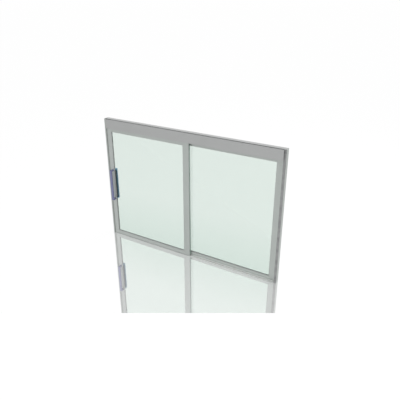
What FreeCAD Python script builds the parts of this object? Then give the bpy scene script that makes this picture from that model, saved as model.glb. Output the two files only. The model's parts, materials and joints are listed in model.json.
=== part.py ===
"""Glass sliding patio door: a two-track aluminium frame with one fixed and one sliding panel.

Millimetres. The origin is on the underside of the sill, at the middle of its length and depth.
X runs along the width, Y from the front face to the back, and Z up.
"""
import FreeCAD, Part
import os

# Outer frame
frame_width = 3048.0
frame_height = 2020.0
frame_depth = 112.0
frame_wall = 3.0
rebate_width = 24.0
right_rebate_width = 34.0
rebate_depth = 40.0
nose_width = 26.0
right_nose_setback = 27.0
fascia_height = 145.0
flashing_groove_depth = 20.0
sill_floor = 5.0
sill_seat_lip = 16.0
sill_rear_height = 12.0
track_height = 12.0
groove_seal_height = 8.0
rebate_seal_depth = 12.0
rebate_seal_margin = 2.0

# Panels
sash_depth = 32.0
sash_wall = 2.5
panel_gap = 11.0
lock_stile_width = 103.0
meeting_stile_width = 105.0
jamb_stile_width = 92.0
top_rail_height = 80.0
sight_height = 73.0
pocket_depth = 16.0
bead_thickness = 5.0
bead_slope = 10.0
bead_lip = 1.5
panel_overlap = 127.0
interlock_leg = 6.0
interlock_wall = 2.5
interlock_clearance = 6.0
interlock_end_clearance = 8.0

# Glass
pane_thickness = 5.0
glass_cavity = 6.0
glass_bite = 12.0
spacer_height = 9.0
gasket_bite = 6.0
gasket_proud = 1.5
setting_block_length = 100.0
setting_block_inset = 250.0

# Running gear
track_rib = 3.0
track_cap_wall = 1.5
track_cap_skirt = 8.0
track_notch = 16.0
roller_radius = 16.0
roller_width = 10.0
roller_groove = 2.0
axle_radius = 3.0
axle_fit = 0.1
axle_head = 1.5
axle_head_radius = 4.5
roller_inset = 190.0
housing_length = 80.0
housing_width = 18.0
housing_wall = 2.0
housing_margin = 0.5

# Pull handles
handle_length = 530.0
handle_width = 40.0
handle_thickness = 20.0
handle_gap = 44.0
handle_height = 922.0
handle_setback = 31.0
handle_corner = 8.0
handle_edge = 4.0
hand_clearance = 40.0

# Stops and fixing holes
stop_length = 30.0
buffer_thickness = 5.0
buffer_height = 60.0
buffer_low = 400.0
buffer_high = 1500.0
fixing_hole_radius = 4.0
jamb_hole_heights = (250.0, 750.0, 1250.0, 1750.0)
sill_hole_offsets = (600.0, 1200.0)

# Fits
run_clearance = 5.0
roll_clearance = 0.3
engagement_top = 30.0
engagement_side = 12.0
engagement_fixed = 16.0

# Places along the depth, from the front face back
front_y = -frame_depth / 2
back_y = frame_depth / 2
ledge_y = front_y + rebate_depth
right_nose_y = front_y + right_nose_setback
slide_y = front_y + frame_wall + run_clearance
slide_back = slide_y + sash_depth
slide_mid = slide_y + sash_depth / 2
fixed_y = slide_back + panel_gap
fixed_back = fixed_y + sash_depth
divider_y = fixed_y - frame_wall
chamber_y = fixed_back + frame_wall

# Places along the width
body_left = -frame_width / 2
body_right = frame_width / 2
nose_left = body_left + rebate_width
nose_right = body_right - right_rebate_width
fascia_right = -nose_left
daylight_left = nose_left + nose_width
daylight_right = -daylight_left
slide_left = daylight_left - engagement_side
fixed_right = daylight_right + engagement_fixed
slide_right = (slide_left + fixed_right + panel_overlap) / 2
fixed_left = slide_right - panel_overlap

# Places up the height
track_top = sill_floor + track_height
seat_top = sill_floor + sill_seat_lip
panel_bottom = sill_floor + run_clearance
fascia_bottom = frame_height - fascia_height
panel_top = fascia_bottom + engagement_top
glass_top = panel_top - top_rail_height

# The rear handle stops a hand's room short of the fixed panel
handle_x = slide_left + lock_stile_width - handle_setback
travel = fixed_left - handle_x - handle_width / 2 - hand_clearance

# Depths inside a panel, from its own front face
front_pane_v = (sash_depth - glass_cavity) / 2 - pane_thickness
spacer_v = front_pane_v + pane_thickness
rear_pane_v = spacer_v + glass_cavity


def vec(x, y, z):
    return FreeCAD.Vector(x, y, z)


def box(x0, x1, y0, y1, z0, z1):
    return Part.makeBox(x1 - x0, y1 - y0, z1 - z0, vec(x0, y0, z0))


def fuse(shapes):
    return shapes[0].multiFuse(shapes[1:]).removeSplitter()


def save(shape, name):
    shape.exportStep("parts/" + name + ".step")


def walls_x(walls, x0, x1):
    """Extrusion along X whose section is a set of walls (y0, y1, z0, z1)."""
    return fuse([box(x0, x1, *wall) for wall in walls])


def walls_z(walls, z0, z1):
    """Extrusion along Z whose section is a set of walls (x0, x1, y0, y1)."""
    return fuse([box(*wall, z0, z1) for wall in walls])


def mirrored(shape):
    return shape.mirror(vec(0, 0, 0), vec(1, 0, 0))


# Outer frame

def head():
    """Head extrusion: a front fascia, a flashing groove behind it, two channels and a rear chamber."""
    groove_floor = frame_height - flashing_groove_depth
    walls = [
        (front_y, front_y + frame_wall, fascia_bottom, frame_height),
        (front_y, ledge_y + frame_wall, groove_floor - frame_wall, groove_floor),
        (ledge_y, ledge_y + frame_wall, groove_floor - frame_wall, frame_height),
        (ledge_y, back_y, frame_height - frame_wall, frame_height),
        (divider_y, fixed_y, fascia_bottom, frame_height),
        (fixed_back, chamber_y, fascia_bottom, frame_height),
        (back_y - frame_wall, back_y, fascia_bottom, frame_height),
        (fixed_back, back_y, fascia_bottom, fascia_bottom + frame_wall),
    ]
    bar = walls_x(walls, body_left + frame_wall, body_right - frame_wall)
    corners = [
        (body_left, daylight_left, front_y),
        (daylight_right, body_right, right_nose_y),
        (fascia_right, body_right, front_y),
    ]
    for x0, x1, y0 in corners:
        bar = bar.cut(box(x0, x1, y0, ledge_y + frame_wall, fascia_bottom, frame_height))
    return bar


def sill():
    """Sill extrusion: a low plate with a rib for the roller track and a channel for the fixed panel."""
    walls = [
        (front_y, back_y, 0, sill_floor),
        (slide_mid - track_rib / 2, slide_mid + track_rib / 2, 0, track_top - track_cap_wall),
        (divider_y, fixed_y, 0, seat_top),
        (fixed_back, chamber_y, 0, seat_top),
        (fixed_back, back_y, sill_rear_height - frame_wall, sill_rear_height),
        (back_y - frame_wall, back_y, 0, sill_rear_height),
    ]
    bar = walls_x(walls, body_left + frame_wall, body_right - frame_wall)
    corner = box(body_left, daylight_left, front_y, ledge_y + frame_wall, 0, seat_top)
    bar = bar.cut(corner).cut(mirrored(corner))
    hole_y = (front_y + slide_mid) / 2
    for offset in sill_hole_offsets:
        for x in (-offset, offset):
            bar = bar.cut(Part.makeCylinder(fixing_hole_radius, sill_floor, vec(x, hole_y, 0)))
    return bar


def jamb(nose_x, nose_y):
    """Jamb for the left end: a front nose, a rebate outside it, and fins that make the two channels.

    nose_x is the outer side of the nose and nose_y its front.
    """
    wall_x = body_left + frame_wall
    walls = [
        (nose_x, daylight_left, nose_y, nose_y + frame_wall),
        (nose_x, nose_x + frame_wall, nose_y, ledge_y + frame_wall),
        (body_left, nose_x + frame_wall, ledge_y, ledge_y + frame_wall),
        (body_left, wall_x, ledge_y, back_y),
    ]
    fins = [
        (body_left, daylight_left, divider_y, fixed_y),
        (body_left, daylight_left, fixed_back, chamber_y),
        (body_left, daylight_left, back_y - frame_wall, back_y),
    ]
    post = walls_z(walls + fins, 0, frame_height)
    fin_room = box(wall_x, daylight_left, ledge_y + frame_wall, back_y, 0, frame_height)
    fin_length = box(wall_x, daylight_left, ledge_y, back_y, seat_top, fascia_bottom)
    post = post.cut(fin_room.cut(fin_length))
    hole_y = (chamber_y + back_y - frame_wall) / 2
    for z in jamb_hole_heights:
        drill = Part.makeCylinder(fixing_hole_radius, frame_wall, vec(body_left, hole_y, z), vec(1, 0, 0))
        post = post.cut(drill)
    return post


def rebate_seal(nose_x):
    """Foam strip that stands in the rebate of a jamb at the left end over its whole height."""
    x0 = body_left + rebate_seal_margin
    return box(x0, nose_x, ledge_y - rebate_seal_depth, ledge_y, 0, frame_height)


def groove_seal():
    """Foam strip on the floor of the flashing groove."""
    floor = frame_height - flashing_groove_depth
    top = floor + groove_seal_height
    return box(daylight_left, daylight_right, front_y + frame_wall, ledge_y, floor, top)


def roller_track():
    """Stainless cap with a round top, pushed over the rib of the sill."""
    radius = track_rib / 2 + track_cap_wall
    rib_half = track_rib / 2
    bottom = track_top - track_cap_skirt
    x0 = daylight_left
    x1 = daylight_right
    body = box(x0, x1, slide_mid - radius, slide_mid + radius, bottom, track_top - radius)
    crown = Part.makeCylinder(radius, x1 - x0, vec(x0, slide_mid, track_top - radius), vec(1, 0, 0))
    slot = box(x0, x1, slide_mid - rib_half, slide_mid + rib_half, bottom, track_top - track_cap_wall)
    return fuse([body, crown]).cut(slot)


def travel_stop():
    """Rubber block in the front channel of the head that ends the panel's travel."""
    x0 = slide_right + travel + run_clearance
    top = frame_height - flashing_groove_depth - frame_wall
    return box(x0, x0 + stop_length, front_y + frame_wall, divider_y, fascia_bottom + frame_wall, top)


def closing_buffers():
    """Two rubber pads in the left jamb that the sliding panel closes on."""
    x0 = nose_left + frame_wall
    pads = [
        box(x0, x0 + buffer_thickness, slide_y, slide_back, z, z + buffer_height)
        for z in (buffer_low, buffer_high)
    ]
    return Part.makeCompound(pads)


# Panel members, each made in its panel's place. front is the Y of the panel's front face.

def stile(x_outer, x_glass, front, z0, z1):
    """Hollow stile that stops where the glazing beads start, a pocket's depth short of x_glass."""
    side = 1 if x_glass > x_outer else -1
    x_inner = x_glass - side * pocket_depth
    x0 = min(x_outer, x_inner)
    x1 = max(x_outer, x_inner)
    back = front + sash_depth
    core = box(x0 + sash_wall, x1 - sash_wall, front + sash_wall, back - sash_wall, z0, z1)
    return box(x0, x1, front, back, z0, z1).cut(core)


def clear_track(member):
    """Notch the foot of a sliding stile so that it passes over the roller track."""
    half = track_notch / 2
    notch = box(body_left, body_right, slide_mid - half, slide_mid + half, 0, track_top + run_clearance)
    return member.cut(notch)


def rail(z_outer, z_glass, front, x0, x1, outer_wall):
    """Hollow rail that stops where the glazing beads start; outer_wall is 0 where its outside is open."""
    side = 1 if z_glass > z_outer else -1
    z_inner = z_glass - side * pocket_depth
    back = front + sash_depth
    body = box(x0, x1, front, back, min(z_outer, z_inner), max(z_outer, z_inner))
    core_z = (z_outer + side * outer_wall, z_inner - side * sash_wall)
    core = box(x0, x1, front + sash_wall, back - sash_wall, min(core_z), max(core_z))
    return body.cut(core)


def rectangle(x0, x1, z0, z1, y):
    corners = [(x0, z0), (x1, z0), (x1, z1), (x0, z1), (x0, z0)]
    return Part.makePolygon([vec(x, y, z) for x, z in corners])


def bead(x0, x1, z0, z1, face_y, direction):
    """Mitred glazing bead: a flat band, then a slope down to the glass. x0 to z1 are its sight edges."""
    tip_y = face_y + direction * (bead_thickness - bead_lip)
    y0 = min(face_y, face_y + direction * bead_thickness)
    y1 = y0 + bead_thickness
    reach = pocket_depth
    slope = bead_slope
    outside = box(x0 - reach, x1 + reach, y0, y1, z0 - reach, z1 + reach)
    mouth = rectangle(x0 - slope, x1 + slope, z0 - slope, z1 + slope, face_y)
    throat = rectangle(x0, x1, z0, z1, tip_y)
    return outside.cut(Part.makeLoft([mouth, throat], True)).cut(box(x0, x1, y0, y1, z0, z1))


def ring(x0, x1, z0, z1, thickness, y0, depth):
    """Rectangular frame, thickness measured inwards from its outside."""
    outside = box(x0, x1, y0, y0 + depth, z0, z1)
    inside = box(x0 + thickness, x1 - thickness, y0, y0 + depth, z0 + thickness, z1 - thickness)
    return outside.cut(inside)


def save_glazing(name, x0, x1, z0, z1, front):
    """Two panes with a spacer between them, rubber gaskets before and behind, and setting blocks."""
    gx0 = x0 - glass_bite
    gx1 = x1 + glass_bite
    gz0 = z0 - glass_bite
    gz1 = z1 + glass_bite
    panes = {"front_pane": front_pane_v, "rear_pane": rear_pane_v}
    for pane, v in panes.items():
        save(box(gx0, gx1, front + v, front + v + pane_thickness, gz0, gz1), name + pane)
    spacer = ring(gx0, gx1, gz0, gz1, spacer_height, front + spacer_v, glass_cavity)
    save(spacer, name + "glass_spacer")
    thickness = gasket_bite + gasket_proud
    depth = front_pane_v - bead_thickness
    save(bead(x0, x1, z0, z1, front, 1), name + "front_bead")
    save(bead(x0, x1, z0, z1, front + sash_depth, -1), name + "rear_bead")
    gaskets = {
        "front_gasket": front + bead_thickness,
        "rear_gasket": front + sash_depth - front_pane_v,
    }
    for gasket, y in gaskets.items():
        seal = ring(
            x0 - gasket_bite, x1 + gasket_bite, z0 - gasket_bite, z1 + gasket_bite, thickness, y, depth
        )
        save(seal, name + gasket)
    block_bottom = z0 - pocket_depth
    block_y = front + front_pane_v
    block_depth = 2 * pane_thickness + glass_cavity
    starts = (x0 + setting_block_inset, x1 - setting_block_inset - setting_block_length)
    blocks = [
        box(x, x + setting_block_length, block_y, block_y + block_depth, block_bottom, gz0)
        for x in starts
    ]
    save(Part.makeCompound(blocks), name + "setting_blocks")


def interlock(x0, y0, y1):
    """Leg down the face of a meeting stile that closes the gap between the panels."""
    z0 = seat_top + interlock_end_clearance
    z1 = fascia_bottom - interlock_end_clearance
    return box(x0, x0 + interlock_wall, y0, y1, z0, z1)


# Running gear, made at x along the bottom rail

def axle_height():
    return track_top + roll_clearance + roller_radius - roller_groove


def roller_wheel(x):
    """Grooved wheel turned about its axle."""
    half = roller_width / 2
    rib = track_rib / 2 + track_cap_wall + roll_clearance
    floor = roller_radius - roller_groove
    bore = axle_radius + axle_fit
    outline = [
        (bore, -half), (roller_radius, -half), (roller_radius, -rib), (floor, -rib / 2),
        (floor, rib / 2), (roller_radius, rib), (roller_radius, half), (bore, half),
    ]
    wire = Part.makePolygon([vec(r, y, 0) for r, y in outline + outline[:1]])
    wheel = Part.Face(wire).revolve(vec(0, 0, 0), vec(0, 1, 0), 360)
    wheel.translate(vec(x, slide_mid, axle_height()))
    return wheel


def roller_housing(x):
    """Folded steel cradle that hangs the wheel under the web of the bottom rail."""
    top = sight_height - pocket_depth - sash_wall
    bottom = panel_bottom + housing_margin
    half = housing_width / 2
    x0 = x - housing_length / 2
    outside = box(x0, x0 + housing_length, slide_mid - half, slide_mid + half, bottom, top)
    inside = box(
        x0, x0 + housing_length,
        slide_mid - half + housing_wall, slide_mid + half - housing_wall,
        bottom, top - housing_wall,
    )
    bore = Part.makeCylinder(
        axle_radius + axle_fit, housing_width, vec(x, slide_mid - half, axle_height()), vec(0, 1, 0)
    )
    return outside.cut(inside).cut(bore)


def roller_axle(x):
    """Riveted pin with a head at both ends."""
    along = vec(0, 1, 0)
    foot = vec(x, slide_mid - housing_width / 2 - axle_head, axle_height())
    far_foot = foot + vec(0, housing_width + axle_head, 0)
    pin = Part.makeCylinder(axle_radius, housing_width + 2 * axle_head, foot, along)
    near_head = Part.makeCylinder(axle_head_radius, axle_head, foot, along)
    far_head = Part.makeCylinder(axle_head_radius, axle_head, far_foot, along)
    return fuse([pin, near_head, far_head])


def pull_handle(face_y, direction):
    """Solid pull: a grip on two arms, with rounded corners and edges, standing off face_y."""
    z0 = handle_height - handle_length / 2
    z1 = handle_height + handle_length / 2
    reach = handle_gap + handle_thickness
    far = face_y + direction * reach
    inner = face_y + direction * handle_gap
    x0 = handle_x - handle_width / 2
    block = box(x0, x0 + handle_width, min(face_y, far), max(face_y, far), z0, z1)
    gap = box(
        x0, x0 + handle_width, min(face_y, inner), max(face_y, inner),
        z0 + handle_thickness, z1 - handle_thickness,
    )
    grip = block.cut(gap)
    corners = [
        edge for edge in grip.Edges
        if abs(edge.CenterOfMass.y - far) < 1e-6 and abs(edge.Length - handle_width) < 1e-6
    ]
    grip = grip.makeFillet(handle_corner, corners)
    outline = []
    for edge in grip.Edges:
        middle = edge.CenterOfMass
        on_side = min(abs(middle.x - x0), abs(middle.x - x0 - handle_width)) < 1e-6
        on_end = min(abs(middle.z - z0), abs(middle.z - z1)) < handle_corner
        on_front = abs(middle.y - far) < handle_corner
        at_foot = abs(middle.y - face_y) < 1e-6
        if on_side and (on_end or on_front) and not at_foot:
            outline.append(edge)
    return grip.makeFillet(handle_edge, outline)


os.makedirs("parts", exist_ok=True)

# Frame
save(head(), "head")
save(sill(), "sill")
save(jamb(nose_left, front_y), "left_jamb")
save(mirrored(jamb(-nose_right, right_nose_y)), "right_jamb")
save(rebate_seal(nose_left), "left_perimeter_seal")
save(mirrored(rebate_seal(-nose_right)), "right_perimeter_seal")
save(groove_seal(), "head_perimeter_seal")
save(roller_track(), "roller_track")
save(travel_stop(), "travel_stop")
save(closing_buffers(), "closing_buffers")

# Sliding panel
slide_glass_left = slide_left + lock_stile_width
slide_glass_right = slide_right - meeting_stile_width
meeting_x = (slide_right + fixed_left) / 2
hook = interlock(meeting_x + interlock_clearance / 2, slide_back, slide_back + interlock_leg)
lock_stile = stile(slide_left, slide_glass_left, slide_y, panel_bottom, panel_top)
save(clear_track(lock_stile), "lock_stile")
slide_meeting = stile(slide_right, slide_glass_right, slide_y, panel_bottom, panel_top)
save(fuse([clear_track(slide_meeting), hook]), "sliding_meeting_stile")
rail_left = slide_glass_left - pocket_depth
rail_right = slide_glass_right + pocket_depth
save(rail(panel_top, glass_top, slide_y, rail_left, rail_right, sash_wall), "sliding_top_rail")
save(rail(panel_bottom, sight_height, slide_y, rail_left, rail_right, 0), "sliding_bottom_rail")
save_glazing("sliding_", slide_glass_left, slide_glass_right, sight_height, glass_top, slide_y)
rollers = {"left": slide_glass_left + roller_inset, "right": slide_glass_right - roller_inset}
for side, x in rollers.items():
    save(roller_wheel(x), side + "_roller_wheel")
    save(roller_housing(x), side + "_roller_housing")
    save(roller_axle(x), side + "_roller_axle")
save(pull_handle(slide_y, -1), "front_pull_handle")
save(pull_handle(slide_back, 1), "rear_pull_handle")

# Fixed panel
fixed_glass_left = fixed_left + meeting_stile_width
fixed_glass_right = fixed_right - jamb_stile_width
catch = interlock(meeting_x - interlock_clearance / 2 - interlock_wall, fixed_y - interlock_leg, fixed_y)
fixed_meeting = stile(fixed_left, fixed_glass_left, fixed_y, sill_floor, panel_top)
save(fuse([fixed_meeting, catch]), "fixed_meeting_stile")
save(stile(fixed_right, fixed_glass_right, fixed_y, sill_floor, panel_top), "fixed_jamb_stile")
rail_left = fixed_glass_left - pocket_depth
rail_right = fixed_glass_right + pocket_depth
save(rail(panel_top, glass_top, fixed_y, rail_left, rail_right, sash_wall), "fixed_top_rail")
save(rail(sill_floor, sight_height, fixed_y, rail_left, rail_right, 0), "fixed_bottom_rail")
save_glazing("fixed_", fixed_glass_left, fixed_glass_right, sight_height, glass_top, fixed_y)
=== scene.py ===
"""Looks of the glass sliding patio door: finishes, soft strips in its gaps, a studio and the camera."""

import json
import math

import bpy
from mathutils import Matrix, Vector


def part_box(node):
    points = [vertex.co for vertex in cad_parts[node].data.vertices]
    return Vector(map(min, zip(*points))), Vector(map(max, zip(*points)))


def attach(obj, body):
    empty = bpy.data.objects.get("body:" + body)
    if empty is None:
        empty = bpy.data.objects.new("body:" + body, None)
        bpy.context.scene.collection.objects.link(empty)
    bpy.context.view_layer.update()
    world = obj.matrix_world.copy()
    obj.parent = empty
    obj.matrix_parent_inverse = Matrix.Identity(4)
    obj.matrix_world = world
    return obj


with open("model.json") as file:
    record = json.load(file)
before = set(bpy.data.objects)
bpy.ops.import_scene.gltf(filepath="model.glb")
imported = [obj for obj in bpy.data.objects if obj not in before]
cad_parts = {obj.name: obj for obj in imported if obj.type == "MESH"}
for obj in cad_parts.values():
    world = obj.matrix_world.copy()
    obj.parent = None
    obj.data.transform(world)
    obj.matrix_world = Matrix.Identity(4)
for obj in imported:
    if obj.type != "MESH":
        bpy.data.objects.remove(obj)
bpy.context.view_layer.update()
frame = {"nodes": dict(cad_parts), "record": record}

# Camera of the photograph, in the door's frame
CAMERA_PLACE = (3.410, -5.235, 3.804)
CAMERA_PITCH = -24.54
CAMERA_YAW = -31.29
CAMERA_LENS = 40.58
SENSOR_WIDTH = 36.0
CAMERA_REACH = 3000.0

# White floor, polished behind a line that lies MIRROR_START metres ahead of the camera
FLOOR_SIZE = 1600.0
FLOOR_HEIGHT = -0.001
FLOOR_PAINT = (0.92, 0.92, 0.92)
FLOOR_GLOW = 1.04
GLOW_SHARE = 0.75
MIRROR_START = 4.763
MIRROR_RUN = 2.2
MIRROR_NEAR = 0.70
MIRROR_FAR = 0.80
MIRROR_ROUGHNESS = 0.02

# Light of the studio. A lamp has its place, the side of its square in metres and its power in watts
SKY_STRENGTH = 0.80
LAMP_AIM = (0.0, 0.0, 1.0)
LAMPS = {
    "lamp_above": ((1.0, 2.8, 7.0), 5.0, 320.0),
    "lamp_right": ((7.0, 0.0, 3.0), 4.0, 15.0),
    "lamp_front": ((-0.3, -6.0, 0.6), 3.0, 70.0),
}

# Colours, linear
WHITE = (1.0, 1.0, 1.0)
STILE_METAL = (0.447, 0.476, 0.458)
# Lit and shaded copies of the one anodised aluminium: the lock stile and the two feet are lighter with
# painted light, the meeting stile, left jamb, rails and head darker with painted shade
LOCK_STILE_PAINTED_LIGHT_METAL = (0.463, 0.492, 0.477)
MEETING_STILE_PAINTED_SHADE_METAL = (0.436, 0.468, 0.449)
LEFT_JAMB_PAINTED_SHADE_METAL = (0.412, 0.438, 0.422)
RAIL_PAINTED_SHADE_METAL = (0.414, 0.442, 0.425)
SLIDING_FOOT_PAINTED_LIGHT_METAL = (0.470, 0.505, 0.483)
FIXED_FOOT_PAINTED_LIGHT_METAL = (0.512, 0.552, 0.527)
HEAD_PAINTED_SHADE_METAL = (0.400, 0.407, 0.405)
# The sill is a lighter copy of the aluminium and its tread near white: painted light where the sill lies
# in shade
SILL_PAINTED_LIGHT_METAL = (0.620, 0.650, 0.632)
TREAD_PAINTED_LIGHT = (0.860, 0.885, 0.870)
# Glass colour near the floor, darker with painted shade
GLASS_PAINTED_SHADE_LOW = (0.803, 0.865, 0.832)
GLASS_HIGH = (0.850, 0.896, 0.870)
GASKET = (0.335, 0.345, 0.340)
SEAL_GREY = (0.262, 0.268, 0.268)
# A dark greenish seal colour that is painted shade for the gap at the meeting stile's edge
EDGE_SEAL_PAINTED_SHADE = (0.245, 0.365, 0.308)
PILE_GREY = (0.30, 0.31, 0.31)
SPACER = (0.60, 0.61, 0.61)
NYLON = (0.72, 0.71, 0.66)
STAINLESS = (0.50, 0.50, 0.49)
PULL_BLUE = (0.185, 0.195, 0.338)
# The rear pull is a lighter, greener copy of the pull's blue: painted light for the shade it sits in
# behind the glass, tinted as seen through it
REAR_PULL_PAINTED_LIGHT_BLUE = (0.205, 0.370, 0.515)
BLOCK = (0.03, 0.03, 0.03)

# Stretch of the noise that runs along an extrusion, and the span that most noise keeps to
ALONG_X = (0.004, 1.0, 1.0)
ALONG_Z = (1.0, 1.0, 0.004)
NOISE_LOW = 0.3
NOISE_HIGH = 0.7

# Anodised metal, duller on the bottom rails, which dust and water reach most
SATIN_ROUGHNESS = 0.42
METALLIC = 0.55
FOOT_METALLIC = 0.2
CLOUD_SCALE = 2.3
# Height over which the uprights are painted paler towards the floor, as painted light
PAINTED_LIGHT_TOP = 1.9

# Glass: the index of a coated pane that mirrors little, and the heights over which its painted shade near
# the floor fades to paler glass
GLASS_INDEX = 1.39
GLASS_SHADE_FULL_HEIGHT = 0.05
GLASS_SHADE_END_HEIGHT = 0.85

# Directions in the door's frame
UP = (0.0, 0.0, 1.0)
BACK = (0.0, 1.0, 0.0)


def scaled(colour, factor):
    """Colour times a factor, with no part over 1."""
    return tuple(min(1.0, part * factor) for part in colour)


class Nodes:
    """Short helpers for a node tree."""

    def __init__(self, tree):
        self.tree = tree

    def put(self, socket, value):
        """Link value to the socket where it comes from another node, and else set it there."""
        if isinstance(value, bpy.types.NodeSocket):
            self.tree.links.new(value, socket)
        else:
            socket.default_value = value

    def node(self, kind, **inputs):
        """New node. Its inputs go by their names, with _ for a space."""
        made = self.tree.nodes.new(kind)
        for name, value in inputs.items():
            self.put(made.inputs[name.replace("_", " ")], value)
        return made

    def combine(self, operation, first, second):
        """One value worked out from two."""
        made = self.node("ShaderNodeMath")
        made.operation = operation
        self.put(made.inputs[0], first)
        self.put(made.inputs[1], second)
        return made.outputs[0]

    def ranged(self, value, start, end, low, high):
        """Value stretched so that start to end becomes low to high."""
        made = self.node("ShaderNodeMapRange", Value=value, From_Min=start, From_Max=end)
        self.put(made.inputs["To Min"], low)
        self.put(made.inputs["To Max"], high)
        return made.outputs["Result"]

    def place(self):
        """Place in the door's frame, in metres."""
        return self.node("ShaderNodeTexCoord").outputs["Object"]

    def reach(self, direction):
        """How far the place lies in a direction."""
        made = self.node("ShaderNodeVectorMath")
        made.operation = "DOT_PRODUCT"
        self.put(made.inputs[0], self.place())
        self.put(made.inputs[1], direction)
        return made.outputs["Value"]

    def seen(self):
        """1 for what the camera sees straight on, in a reflection or through glass."""
        path = self.node("ShaderNodeLightPath").outputs
        mirrored = self.combine("MAXIMUM", path["Is Glossy Ray"], path["Is Transmission Ray"])
        return self.combine("MAXIMUM", path["Is Camera Ray"], mirrored)

    def mix(self, share, first, second):
        """Shader that goes from first to second as share goes from 0 to 1."""
        made = self.node("ShaderNodeMixShader", Fac=share)
        self.put(made.inputs[1], first)
        self.put(made.inputs[2], second)
        return made.outputs["Shader"]


class Finish(Nodes):
    """Principled material with noise in the door's own coordinates."""

    def __init__(self, name, colour, roughness, metallic=0.0):
        self.material = bpy.data.materials.new(name)
        self.material.use_nodes = True
        super().__init__(self.material.node_tree)
        self.shader = self.tree.nodes["Principled BSDF"]
        self.colour = colour
        self.set("Base Color", (*colour, 1.0))
        self.set("Roughness", roughness)
        self.set("Metallic", metallic)

    def set(self, name, value):
        """Set or link one of the shader's own sockets."""
        self.put(self.shader.inputs[name], value)

    def noise(self, scale, detail, stretch=(1.0, 1.0, 1.0)):
        """Noise of a scale per metre. It is drawn out along an axis where stretch is small."""
        mapping = self.node("ShaderNodeMapping", Vector=self.place(), Scale=stretch)
        drawn_out = mapping.outputs["Vector"]
        texture = self.node("ShaderNodeTexNoise", Vector=drawn_out, Scale=scale, Detail=detail)
        return texture.outputs["Fac"]

    def spread(self, noise, low, high):
        """Noise whose usual span runs from low to high."""
        return self.ranged(noise, NOISE_LOW, NOISE_HIGH, low, high)

    def colour_by(self, value, stops):
        """Base colour that passes through the stops, which are pairs of a value and a colour."""
        ramp = self.node("ShaderNodeValToRGB", Fac=value)
        elements = ramp.color_ramp.elements
        elements.remove(elements[-1])
        elements[0].position = stops[0][0]
        elements[0].color = (*stops[0][1], 1.0)
        for position, colour in stops[1:]:
            elements.new(position).color = (*colour, 1.0)
        self.set("Base Color", ramp.outputs["Color"])

    def vary_colour(self, noise, low, high):
        """Base colour from low to high times the plain colour."""
        stops = [(NOISE_LOW, scaled(self.colour, low)), (NOISE_HIGH, scaled(self.colour, high))]
        self.colour_by(noise, stops)

    def vary_roughness(self, noise, low, high):
        self.set("Roughness", self.spread(noise, low, high))

    def bump(self, height, depth, strength=0.5):
        made = self.node("ShaderNodeBump", Height=height, Distance=depth, Strength=strength)
        self.set("Normal", made.outputs["Normal"])


# Finishes

def extrusion(name, colour, stretch, metallic=METALLIC, low=0.38, high=0.48):
    """Satin anodised aluminium with faint die lines along the extrusion, in one colour."""
    made = Finish(name, colour, SATIN_ROUGHNESS, metallic)
    lines = made.noise(scale=420.0, detail=2.0, stretch=stretch)
    made.vary_roughness(lines, low, high)
    made.bump(lines, depth=0.00004, strength=0.35)
    return made


def anodised(name, colour, metallic=METALLIC):
    """Anodised member that lies along the width, slightly clouded."""
    made = extrusion(name, colour, ALONG_X, metallic)
    made.vary_colour(made.noise(CLOUD_SCALE, detail=4.0), low=0.975, high=1.02)
    return made.material


def painted_light_upright(name, colour):
    """Anodised upright, a shade paler towards the floor with painted light that makes up for the shade
    near its foot.
    """
    made = extrusion(name, colour, ALONG_Z)
    # Painted light: the colour grows paler towards the floor, from the top of the uprights down
    painted_light_rise = made.ranged(made.reach(UP), start=0.0, end=PAINTED_LIGHT_TOP, low=0.66, high=0.34)
    cloud = made.spread(made.noise(CLOUD_SCALE, detail=4.0), low=-0.07, high=0.07)
    made.vary_colour(made.combine("ADD", painted_light_rise, cloud), low=0.93, high=1.053)
    return made.material


def sill_painted_light():
    """Anodised sill whose tread between the front edge and the rear chamber is painted near white, as
    painted light where the sill lies in shade.
    """
    made = extrusion("anodised_sill", SILL_PAINTED_LIGHT_METAL, ALONG_X, low=0.34, high=0.46)
    sill_low, sill_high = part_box("sill")
    across = made.ranged(made.reach(BACK), sill_low[1], sill_high[1], low=0.0, high=1.0)
    tread_edge_noise = made.spread(made.noise(scale=35.0, detail=5.0), low=-0.02, high=0.02)
    # Painted light: the tread band between the front edge and the rear chamber is near white, its edges
    # wobbled by noise
    stops = [(0.02, SILL_PAINTED_LIGHT_METAL), (0.07, TREAD_PAINTED_LIGHT), (0.50, TREAD_PAINTED_LIGHT), (0.70, SILL_PAINTED_LIGHT_METAL)]
    made.colour_by(made.combine("ADD", across, tread_edge_noise), stops)
    return made.material


def clear_glass():
    """Float glass with a faint green body and a trace of dust, darker near the floor with painted shade.
    """
    made = Finish("clear_float_glass", GLASS_HIGH, roughness=0.0)
    made.set("Transmission Weight", 1.0)
    made.set("IOR", GLASS_INDEX)
    # Painted shade: darker glass near the floor, fading out between the two heights
    rise = made.ranged(made.reach(UP), GLASS_SHADE_FULL_HEIGHT, GLASS_SHADE_END_HEIGHT, low=0.0, high=1.0)
    dust = made.spread(made.noise(scale=9.0, detail=6.0), low=-0.04, high=0.04)
    made.colour_by(made.combine("ADD", rise, dust), [(0.0, GLASS_PAINTED_SHADE_LOW), (1.0, GLASS_HIGH)])
    return made.material


def rubber(name, colour):
    """Matt rubber, foam or pile with a fine grain."""
    made = Finish(name, colour, roughness=0.75)
    grain = made.noise(scale=900.0, detail=4.0)
    made.vary_colour(made.noise(scale=14.0, detail=3.0), low=0.85, high=1.2)
    made.vary_roughness(grain, low=0.68, high=0.85)
    made.bump(grain, depth=0.0001)
    return made.material


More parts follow.
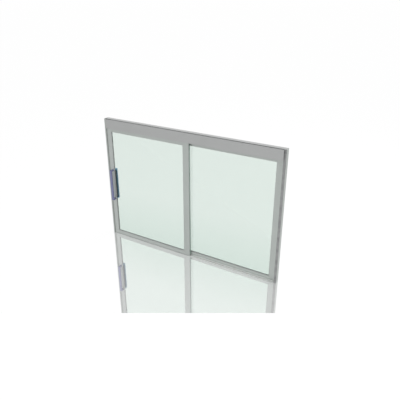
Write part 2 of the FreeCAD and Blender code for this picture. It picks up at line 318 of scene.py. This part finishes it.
def metal(name, colour, low, high, stretch, metallic=1.0):
    """Bright metal with fine brushing and a roughness from low to high."""
    made = Finish(name, colour, low, metallic)
    brushing = made.noise(scale=600.0, detail=3.0, stretch=stretch)
    made.vary_colour(brushing, low=0.94, high=1.04)
    made.vary_roughness(brushing, low, high)
    made.bump(brushing, depth=0.00003, strength=0.3)
    return made.material


def blue_pull(name, colour):
    """Satin blue lacquer with the brushing of the bar under it."""
    return metal(name, colour, low=0.26, high=0.36, stretch=ALONG_Z, metallic=0.4)


def plastic(name, colour, roughness):
    """Moulded plastic, faintly clouded."""
    made = Finish(name, colour, roughness)
    cloud = made.noise(scale=60.0, detail=3.0)
    made.vary_colour(cloud, low=0.95, high=1.04)
    made.vary_roughness(cloud, roughness - 0.04, roughness + 0.06)
    return made.material


# Finishes on the door's own pieces

upright_metal = painted_light_upright("painted_light_upright", STILE_METAL)
# The rails carry painted shade, a darker copy of the aluminium
rail_metal = anodised("anodised_rail", RAIL_PAINTED_SHADE_METAL)
foam = rubber("grey_foam_seal", SEAL_GREY)
pile = rubber("grey_brush_pile", PILE_GREY)
# Seal rubber whose dark greenish colour is painted shade
edge_shade_rubber = rubber("edge_seal_painted_shade", EDGE_SEAL_PAINTED_SHADE)
slot_finishes = {
    "clear_glass": clear_glass(),
    "rubber_seal": rubber("grey_gasket_rubber", GASKET),
    "spacer_bar": metal("spacer_aluminium", SPACER, low=0.3, high=0.42, stretch=ALONG_X),
    "plastic_block": plastic("black_block", BLOCK, roughness=0.5),
    "roller_plastic": plastic("cast_nylon", NYLON, roughness=0.35),
    "stainless": metal("brushed_stainless", STAINLESS, low=0.22, high=0.34, stretch=ALONG_X),
    "blue_pull": blue_pull("satin_blue_pull", PULL_BLUE),
}
own_finishes = {
    # Per-piece tones below carry painted light or painted shade, copies of the one aluminium and of the
    # pull's blue
    "head": anodised("anodised_head", HEAD_PAINTED_SHADE_METAL),
    "sill": sill_painted_light(),
    "left_jamb": painted_light_upright("anodised_left_jamb", LEFT_JAMB_PAINTED_SHADE_METAL),
    "lock_stile": painted_light_upright("anodised_lock_stile", LOCK_STILE_PAINTED_LIGHT_METAL),
    "sliding_meeting_stile": painted_light_upright("anodised_meeting_stile", MEETING_STILE_PAINTED_SHADE_METAL),
    "sliding_bottom_rail": anodised("anodised_sliding_foot", SLIDING_FOOT_PAINTED_LIGHT_METAL, FOOT_METALLIC),
    "fixed_bottom_rail": anodised("anodised_fixed_foot", FIXED_FOOT_PAINTED_LIGHT_METAL, FOOT_METALLIC),
    # Rear pull: a lighter copy of the pull's blue, painted light
    "rear_pull_handle": blue_pull("satin_blue_rear_pull_painted_light", REAR_PULL_PAINTED_LIGHT_BLUE),
    "roller_track": slot_finishes["stainless"],
}


def finish_of(name, slot):
    """Finish of a node: its own, its kind's or its slot's."""
    if name in own_finishes:
        return own_finishes[name]
    if "perimeter_seal" in name:
        return foam
    if slot == "anodised_frame":
        return upright_metal if "stile" in name or "jamb" in name else rail_metal
    return slot_finishes[slot]


slots = {part["node"]: part["material_slot"] for part in frame["record"]["subparts"]}
for name, piece in frame["nodes"].items():
    piece.data.materials.clear()
    piece.data.materials.append(finish_of(name, slots[name]))
    for polygon in piece.data.polygons:
        polygon.material_index = 0
    piece.visible_shadow = slots[name] != "clear_glass"


# Soft strips: brush pile in the running gaps and a seal on the sliding meeting stile, whose dark greenish
# colour is painted shade

# Wall of the stiles and rails, and of the legs by which the two meeting stiles hook past each other
WALL = 0.0025
LEG_CLEARANCE = 0.006
LEG_END_CLEARANCE = 0.008

# Pile, with its tufts narrower at their tips
PILE_WIDTH = 0.9 * WALL
PILE_BACKING = 0.0008
PILE_CLEARANCE = 0.0005
TUFT_PITCH = 0.0030
TUFT_WIDTH = 0.0030
TUFT_TIP = 0.7
LEG_PILE = 0.0045

# Crowned seal, drawn in at its two ends
SEAL_WIDTH = 0.0135
SEAL_SETBACK = 0.0020
SEAL_BULGE = 0.0016
SEAL_END_RUN = 2 * SEAL_BULGE
SEAL_END_SCALE = 0.6
SEAL_ABOVE_SILL = 0.011
SEAL_BELOW_HEAD = 0.013
SEAL_SIDES = 12

# Corners of a square whose half is 1, in order round it
CORNERS = ((-1, -1), (1, -1), (1, 1), (-1, 1))


def mesh_object(name, vertices, faces):
    """New object in the scene with this mesh."""
    mesh = bpy.data.meshes.new(name)
    mesh.from_pydata(vertices, [], faces)
    made = bpy.data.objects.new(name, mesh)
    bpy.context.scene.collection.objects.link(made)
    return made


def soft_strip(name, body, vertices, faces, finish):
    """Soft piece that rides on a body."""
    made = mesh_object(name, vertices, faces)
    made.data.materials.append(finish)
    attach(made, body)
    return made


def add_block(vertices, faces, foot, rise, half_along, half_side, tip):
    """Four-sided block from its foot along rise, tip times as wide at its end. The halves are vectors."""
    base = len(vertices)
    count = len(CORNERS)
    for middle, scale in ((foot, 1.0), (foot + rise, tip)):
        for along, side in CORNERS:
            vertices.append(middle + (half_along * along + half_side * side) * scale)
    faces.append(tuple(reversed(range(base, base + count))))
    faces.append(tuple(range(base + count, base + 2 * count)))
    for i in range(count):
        j = (i + 1) % count
        faces.append((base + i, base + j, base + count + j, base + count + i))


def pile_strip(name, body, start, end, out, length):
    """Backing strip from start to end with a row of tufts on it, which point in the direction out."""
    start = Vector(start)
    along = Vector(end) - start
    run = along.length
    along.normalize()
    out = Vector(out)
    half_side = along.cross(out) * (PILE_WIDTH / 2)
    vertices = []
    faces = []
    middle = start + along * (run / 2)
    add_block(vertices, faces, middle, out * PILE_BACKING, along * (run / 2), half_side, 1.0)
    tufts = int(run / TUFT_PITCH)
    half_tuft = along * (TUFT_WIDTH / 2)
    rise = out * (length - PILE_BACKING)
    for i in range(tufts):
        foot = start + along * ((i + 0.5) * run / tufts) + out * PILE_BACKING
        add_block(vertices, faces, foot, rise, half_tuft, half_side, TUFT_TIP)
    soft_strip(name, body, vertices, faces, pile)


def edge_seal(name, body, face, back, foot, top):
    """Crowned strip from foot to top with drawn-in ends, on a side that faces right at x = face."""
    half = SEAL_WIDTH / 2
    rings = (
        (foot, SEAL_END_SCALE),
        (foot + SEAL_END_RUN, 1.0),
        (top - SEAL_END_RUN, 1.0),
        (top, SEAL_END_SCALE),
    )
    vertices = []
    for height, scale in rings:
        for i in range(SEAL_SIDES + 1):
            angle = math.pi * i / SEAL_SIDES
            out = face + SEAL_BULGE * math.sin(angle) * scale
            vertices.append((out, back - half - half * math.cos(angle) * scale, height))
    row = SEAL_SIDES + 1
    last = (len(rings) - 1) * row
    faces = [tuple(reversed(range(row))), tuple(range(last, last + row))]
    for ring in range(len(rings) - 1):
        for i in range(row):
            near = ring * row + i
            far = ring * row + (i + 1) % row
            faces.append((near, far, far + row, near + row))
    made = soft_strip(name, body, vertices, faces, edge_shade_rubber)
    for polygon in made.data.polygons:
        is_end = len(polygon.vertices) == row
        polygon.use_smooth = not is_end


rail_low, rail_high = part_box("sliding_bottom_rail")
lock_low, lock_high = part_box("lock_stile")
meeting_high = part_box("sliding_meeting_stile")[1]
fixed_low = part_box("fixed_meeting_stile")[0]
sill_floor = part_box("fixed_bottom_rail")[0][2]
sill_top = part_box("sill")[1][2]
fascia_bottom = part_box("head")[0][2]

# Two brushes along the foot of the sliding panel, under the walls of its bottom rail
foot_pile = rail_low[2] - sill_floor - PILE_CLEARANCE
for side, y in (("front", rail_low[1] + WALL / 2), ("rear", rail_high[1] - WALL / 2)):
    left = (lock_low[0] + WALL, y, rail_low[2])
    right = (meeting_high[0] - WALL, y, rail_low[2])
    pile_strip(side + "_foot_brush", "sliding_panel", left, right, (0.0, 0.0, -1.0), foot_pile)

# A brush on the edge of each leg by which the two meeting stiles hook past each other
leg_middle = (meeting_high[0] + fixed_low[0]) / 2
leg_offset = (LEG_CLEARANCE + WALL) / 2
leg_foot = sill_top + LEG_END_CLEARANCE
leg_top = fascia_bottom - LEG_END_CLEARANCE
for name, body, x, y, toward in (
    ("hook_brush", "sliding_panel", leg_middle + leg_offset, meeting_high[1], 1.0),
    ("catch_brush", "frame", leg_middle - leg_offset, fixed_low[1], -1.0),
):
    pile_strip(name, body, (x, y, leg_foot), (x, y, leg_top), (0.0, toward, 0.0), LEG_PILE)

# A soft seal down the right-hand edge of the sliding meeting stile, dark greenish as painted shade for the
# gap there
seal_back = lock_high[1] - SEAL_SETBACK
seal_foot = sill_top + SEAL_ABOVE_SILL
seal_top = fascia_bottom - SEAL_BELOW_HEAD
edge_seal("meeting_edge_seal", "sliding_panel", meeting_high[0], seal_back, seal_foot, seal_top)


# Studio

def stage_plane(name, size, height):
    """Level square that isn't part of the door."""
    half = size / 2
    corners = [(half * x, half * y, height) for x, y in CORNERS]
    made = mesh_object(name, corners, [tuple(range(len(corners)))])
    return made


def mirror_share(nodes):
    """0 before the line where the polish starts, MIRROR_NEAR on it, rising to MIRROR_FAR past the door."""
    yaw = math.radians(CAMERA_YAW)
    ahead = (math.sin(yaw), math.cos(yaw), 0.0)
    start = Vector(CAMERA_PLACE).dot(Vector(ahead)) + MIRROR_START
    reach = nodes.reach(ahead)
    beyond = nodes.combine("GREATER_THAN", reach, start)
    rise = nodes.ranged(reach, start, start + MIRROR_RUN, MIRROR_NEAR, MIRROR_FAR)
    return nodes.combine("MULTIPLY", beyond, rise)


def floor_material():
    """White floor, polished behind a line. What is seen of it is white, less part of the door's shadow."""
    made = Finish("studio_floor", FLOOR_PAINT, roughness=1.0)
    made.set("Specular IOR Level", 0.0)
    glow = made.node("ShaderNodeEmission", Strength=FLOOR_GLOW).outputs["Emission"]
    share = made.combine("MULTIPLY", made.seen(), GLOW_SHARE)
    plain = made.mix(share, made.shader.outputs["BSDF"], glow)
    mirror = made.node("ShaderNodeBsdfGlossy", Color=(*WHITE, 1.0), Roughness=MIRROR_ROUGHNESS)
    surface = made.mix(mirror_share(made), plain, mirror.outputs["BSDF"])
    made.put(made.tree.nodes["Material Output"].inputs["Surface"], surface)
    return made.material


def studio_world():
    """Soft even sky that is plain white wherever it is seen."""
    world = bpy.data.worlds.new("studio_world")
    world.use_nodes = True
    made = Nodes(world.node_tree)
    sky = made.tree.nodes["Background"]
    made.put(sky.inputs["Color"], (*WHITE, 1.0))
    made.put(sky.inputs["Strength"], SKY_STRENGTH)
    white = made.node("ShaderNodeBackground", Color=(*WHITE, 1.0))
    surface = made.mix(made.seen(), sky.outputs["Background"], white.outputs["Background"])
    made.put(made.tree.nodes["World Output"].inputs["Surface"], surface)
    return world


def soft_lamp(name, place, size, power):
    """Square lamp aimed at the door, which shows neither itself nor its mirror image."""
    data = bpy.data.lights.new(name, "AREA")
    data.shape = "SQUARE"
    data.size = size
    data.energy = power
    lamp = bpy.data.objects.new(name, data)
    bpy.context.scene.collection.objects.link(lamp)
    lamp.location = place
    aim = Vector(LAMP_AIM) - Vector(place)
    lamp.rotation_euler = aim.to_track_quat("-Z", "Y").to_euler()
    lamp.visible_camera = False
    lamp.visible_glossy = False
    lamp.visible_transmission = False


def photo_camera():
    """Camera of the photograph. It would look along +Y with a pitch and a yaw of 0."""
    data = bpy.data.cameras.new("photo_camera")
    data.lens = CAMERA_LENS
    data.sensor_width = SENSOR_WIDTH
    data.clip_end = CAMERA_REACH
    camera = bpy.data.objects.new("photo_camera", data)
    camera.location = CAMERA_PLACE
    camera.rotation_euler = (math.radians(90.0 + CAMERA_PITCH), 0.0, math.radians(-CAMERA_YAW))
    bpy.context.scene.collection.objects.link(camera)
    return camera


floor = stage_plane("studio_floor_plane", FLOOR_SIZE, FLOOR_HEIGHT)
floor.data.materials.append(floor_material())
bpy.context.scene.world = studio_world()
for name, (place, size, power) in LAMPS.items():
    soft_lamp(name, place, size, power)
bpy.context.scene.camera = photo_camera()
bpy.context.scene.view_settings.view_transform = "Standard"
